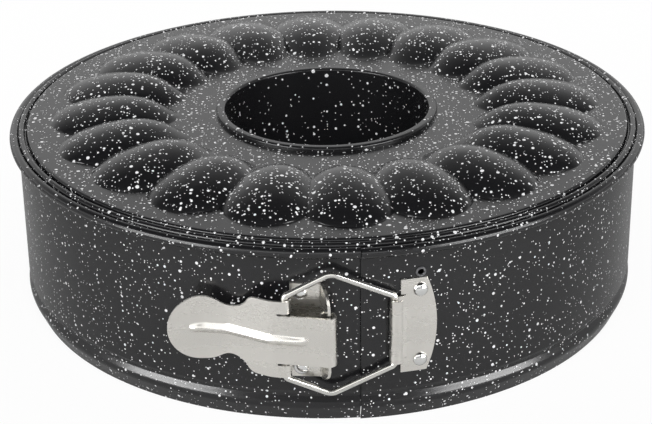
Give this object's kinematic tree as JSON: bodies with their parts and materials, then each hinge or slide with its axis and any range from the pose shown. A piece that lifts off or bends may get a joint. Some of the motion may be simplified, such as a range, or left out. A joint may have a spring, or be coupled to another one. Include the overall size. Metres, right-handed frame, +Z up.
{
  "type": "springform cake tin",
  "caption": "Round springform cake tin: an over-centre latch closes its ring round a flat base, and a fluted ring-mould base with a centre tube lies upside down on the rim.",
  "frame": {"origin": "on the closed ring's axis, on the table under the ring's foot", "axes": "+Z up along the ring's axis; the latch faces -Y; +X from the lever's finger end towards the keeper"},
  "size_m": [0.2682, 0.276, 0.0839],
  "materials": {
    "coating_ring": "semi-gloss charcoal non-stick coating with white speckles",
    "coating_flat_base": "semi-gloss charcoal non-stick coating with white speckles",
    "coating_fluted_base": "semi-gloss charcoal non-stick coating with white speckles",
    "coating_tube": "semi-gloss charcoal non-stick coating with white speckles",
    "plated_steel": "satin nickel-plated sheet steel",
    "plated_wire": "bright nickel-plated steel wire",
    "rivet": "bright domed rivet"
  },
  "bodies": {
    "ring": {"side_band": "coating_ring", "flat_base": "coating_flat_base", "fluted_base": "coating_fluted_base", "centre_tube": "coating_tube", "latch_bracket": "plated_steel", "keeper_plate": "plated_steel", "bracket_rivet_upper": "rivet", "bracket_rivet_lower": "rivet", "keeper_rivet_upper": "rivet", "keeper_rivet_lower": "rivet"},
    "lever": {"latch_lever": "plated_steel"},
    "bail": {"wire_bail": "plated_wire"}
  },
  "joints": [
    {"name": "lever_swing", "type": "hinge", "parent": "ring", "child": "lever", "pos_m": [-0.0004, -0.1387, 0.0402], "axis": [0, 0, 1], "range_deg": [0, 160]},
    {"name": "bail_swing", "type": "hinge", "parent": "ring", "child": "bail", "pos_m": [0.0243, -0.1321, 0.0402], "axis": [0, 0, 1], "range_deg": [0, 24]}
  ],
  "couplings": [
    {"joint": "bail_swing", "follows": "lever_swing", "ratio": 0.15}
  ]
}
